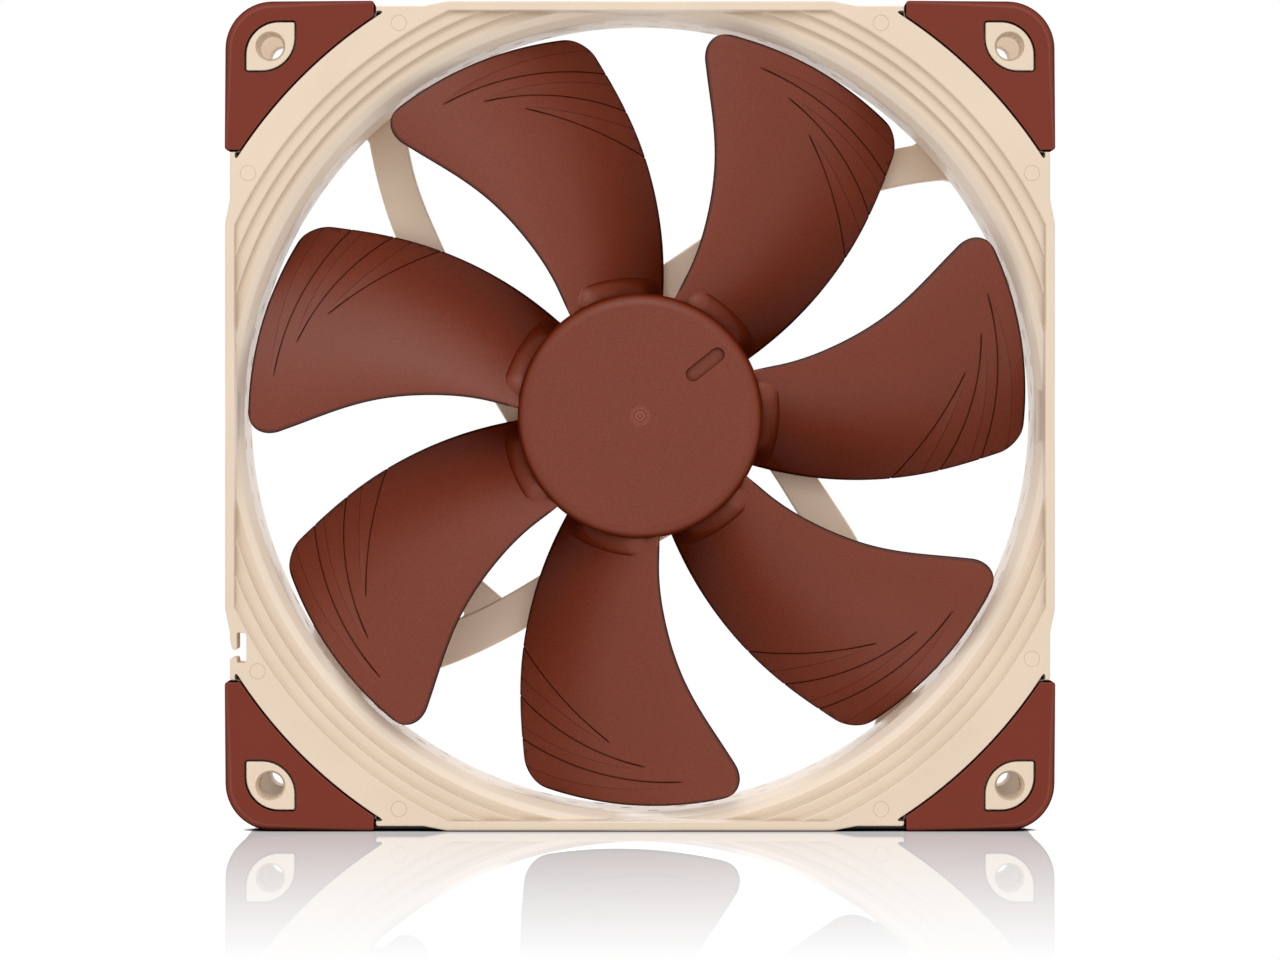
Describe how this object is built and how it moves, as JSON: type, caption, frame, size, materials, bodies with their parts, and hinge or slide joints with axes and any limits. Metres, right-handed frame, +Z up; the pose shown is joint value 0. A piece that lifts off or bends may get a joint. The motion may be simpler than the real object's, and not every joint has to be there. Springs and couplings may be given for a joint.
{
  "type": "case fan",
  "caption": "Square axial computer case fan with swept blades, a stepped round duct, soft corner pads and a brushless hub motor on curved arms.",
  "frame": {"origin": "on the rotor axis, halfway through the fan's depth, which is the middle of its box", "axes": "+Y along the rotor axis towards the air outlet, +Z up, +X to the right seen from the air inlet"},
  "size_m": [0.14, 0.025, 0.14],
  "materials": {
    "frame_plastic": "pale beige glass-filled plastic, satin",
    "impeller_plastic": "red-brown plastic with a fine matte grain",
    "pad_rubber": "red-brown silicone rubber, smooth",
    "steel": "plated or ground steel",
    "magnet": "dark bonded ferrite",
    "brass": "machined brass",
    "sintered_bronze": "oil-soaked sintered bronze",
    "black_polymer": "black engineering plastic",
    "lamination_steel": "stacked electrical steel sheets",
    "insulator_polymer": "off-white insulating plastic",
    "copper_wire": "enamelled copper windings",
    "circuit_board": "green solder mask",
    "chip_epoxy": "moulded black epoxy",
    "ceramic": "chip capacitor ceramic",
    "label_film": "blank self-adhesive film"
  },
  "bodies": {
    "stator_frame": {"axial_centring_magnet": "magnet", "bearing_seal_ring": "black_polymer", "bearing_shell": "brass", "bearing_sleeve": "sintered_bronze", "capacitor_large": "ceramic", "capacitor_small": "ceramic", "circuit_board": "circuit_board", "coil_1": "copper_wire", "coil_2": "copper_wire", "coil_3": "copper_wire", "coil_4": "copper_wire", "diode": "chip_epoxy", "driver_chip": "chip_epoxy", "frame": "frame_plastic", "front_insulator": "insulator_polymer", "hall_sensor": "chip_epoxy", "pad_front_bottom_left": "pad_rubber", "pad_front_bottom_right": "pad_rubber", "pad_front_top_left": "pad_rubber", "pad_front_top_right": "pad_rubber", "pad_rear_bottom_left": "pad_rubber", "pad_rear_bottom_right": "pad_rubber", "pad_rear_top_left": "pad_rubber", "pad_rear_top_right": "pad_rubber", "rear_insulator": "insulator_polymer", "rear_label": "label_film", "resistor": "chip_epoxy", "shaft_retaining_washer": "black_polymer", "stator_core": "lamination_steel", "thrust_pad": "black_polymer", "winding_pin_1": "steel", "winding_pin_2": "steel", "winding_pin_3": "steel", "winding_pin_4": "steel"},
    "rotor": {"impeller": "impeller_plastic", "rotor_yoke": "steel", "rotor_magnet": "magnet", "shaft": "steel", "shaft_bush": "brass"}
  },
  "joints": [
    {"name": "rotor_spin", "type": "hinge", "parent": "stator_frame", "child": "rotor", "pos_m": [0, 0, 0], "axis": [0, -1, 0], "continuous": true}
  ]
}
